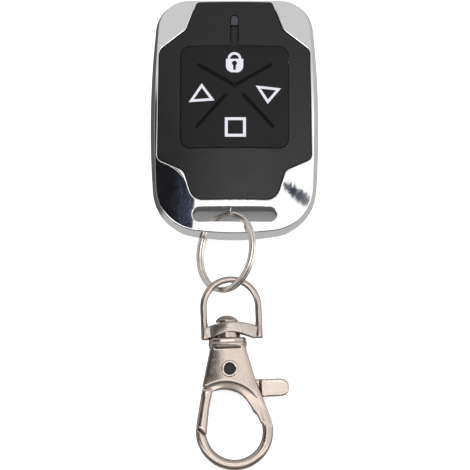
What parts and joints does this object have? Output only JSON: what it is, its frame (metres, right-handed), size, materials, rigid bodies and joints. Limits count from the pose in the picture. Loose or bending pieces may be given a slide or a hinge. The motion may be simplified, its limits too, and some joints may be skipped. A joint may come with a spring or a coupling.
{
  "type": "cloning remote control",
  "caption": "Palm-size radio remote with a chrome frame, rubber key pad and lamp window, on a split ring with a swivelling spring-gate clasp.",
  "frame": {"origin": "centre of the fob's flat back cover, which rests on the table", "axes": "+X to the right of the key pad, +Y from the keyring slot to the lamp end, +Z out of the keys"},
  "size_m": [0.0402, 0.1138, 0.0159],
  "materials": {
    "chrome": "bright chrome plating on a zinc casting",
    "shell_plastic": "fine matt black plastic",
    "cover_plastic": "matt black plastic",
    "screw_steel": "plain steel",
    "pad_rubber": "matt black rubber",
    "key_rubber": "matt black rubber with white printed signs",
    "board": "green laminate",
    "component_plastic": "black moulded plastic",
    "contact_metal": "tinned contact metal",
    "lens": "smoky blue clear plastic",
    "lamp": "clear lamp",
    "battery_wrap": "plain wrapped steel can",
    "copper_wire": "enamelled copper wire",
    "ceramic": "ceramic",
    "ring_nickel": "nickel-plated spring steel",
    "clasp_nickel": "bright nickel on a cast body",
    "rivet_nickel": "nickel-plated rivet",
    "rivet_core": "dark grease in the hollow rivet's bore",
    "sign_ink": "white printing on the keys"
  },
  "bodies": {
    "fob": {"chrome_frame": "chrome", "front_shell": "shell_plastic", "back_cover": "cover_plastic", "case_screws": "screw_steel", "keypad_membrane": "pad_rubber", "circuit_board": "board", "switch_housings": "component_plastic", "switch_covers": "contact_metal", "led_lens": "lens", "indicator_led": "lamp", "battery": "battery_wrap", "battery_spring": "contact_metal", "battery_plate": "contact_metal", "encoder_chip": "component_plastic", "rf_resonator": "contact_metal", "antenna_coil": "copper_wire", "chip_capacitors": "ceramic"},
    "lock_key": {"lock_button": "key_rubber", "lock_plunger": "component_plastic"},
    "up_key": {"up_button": "key_rubber", "up_plunger": "component_plastic"},
    "down_key": {"down_button": "key_rubber", "down_plunger": "component_plastic"},
    "stop_key": {"stop_button": "key_rubber", "stop_plunger": "component_plastic"},
    "ring": {"split_ring": "ring_nickel"},
    "bail": {"swivel_bail": "clasp_nickel"},
    "clasp": {"hook_body": "clasp_nickel", "swivel_rivet": "clasp_nickel", "gate_rivet": "rivet_nickel", "gate_spring": "screw_steel"},
    "gate": {"gate_lever": "clasp_nickel"}
  },
  "joints": [
    {"name": "lock_press", "type": "slide", "parent": "fob", "child": "lock_key", "axis": [0, 0, -1], "range_m": [0, 0.0003], "stiffness_N_per_m": 1500},
    {"name": "up_press", "type": "slide", "parent": "fob", "child": "up_key", "axis": [0, 0, -1], "range_m": [0, 0.0003], "stiffness_N_per_m": 1500},
    {"name": "down_press", "type": "slide", "parent": "fob", "child": "down_key", "axis": [0, 0, -1], "range_m": [0, 0.0003], "stiffness_N_per_m": 1500},
    {"name": "stop_press", "type": "slide", "parent": "fob", "child": "stop_key", "axis": [0, 0, -1], "range_m": [0, 0.0003], "stiffness_N_per_m": 1500},
    {"name": "ring_swing", "type": "hinge", "parent": "fob", "child": "ring", "pos_m": [-0.002, -0.0285, 0.008], "axis": [1, 0, 0], "range_deg": [-30, 45]},
    {"name": "bail_swing", "type": "hinge", "parent": "ring", "child": "bail", "pos_m": [-0.00185, -0.042, 0.008], "axis": [0.6691, 0, 0.7431], "range_deg": [-75, 75]},
    {"name": "clasp_swivel", "type": "hinge", "parent": "bail", "child": "clasp", "pos_m": [-0.0017, -0.05256, 0.00608], "axis": [-0.0397, 0.9895, 0.1392], "continuous": true},
    {"name": "gate_swing", "type": "hinge", "parent": "clasp", "child": "gate", "pos_m": [-0.00118, -0.06057, 0.00496], "axis": [0.0056, -0.1391, 0.9903], "range_deg": [0, 28], "stiffness_Nm_per_rad": 0.02, "springref_deg": -20.05}
  ]
}
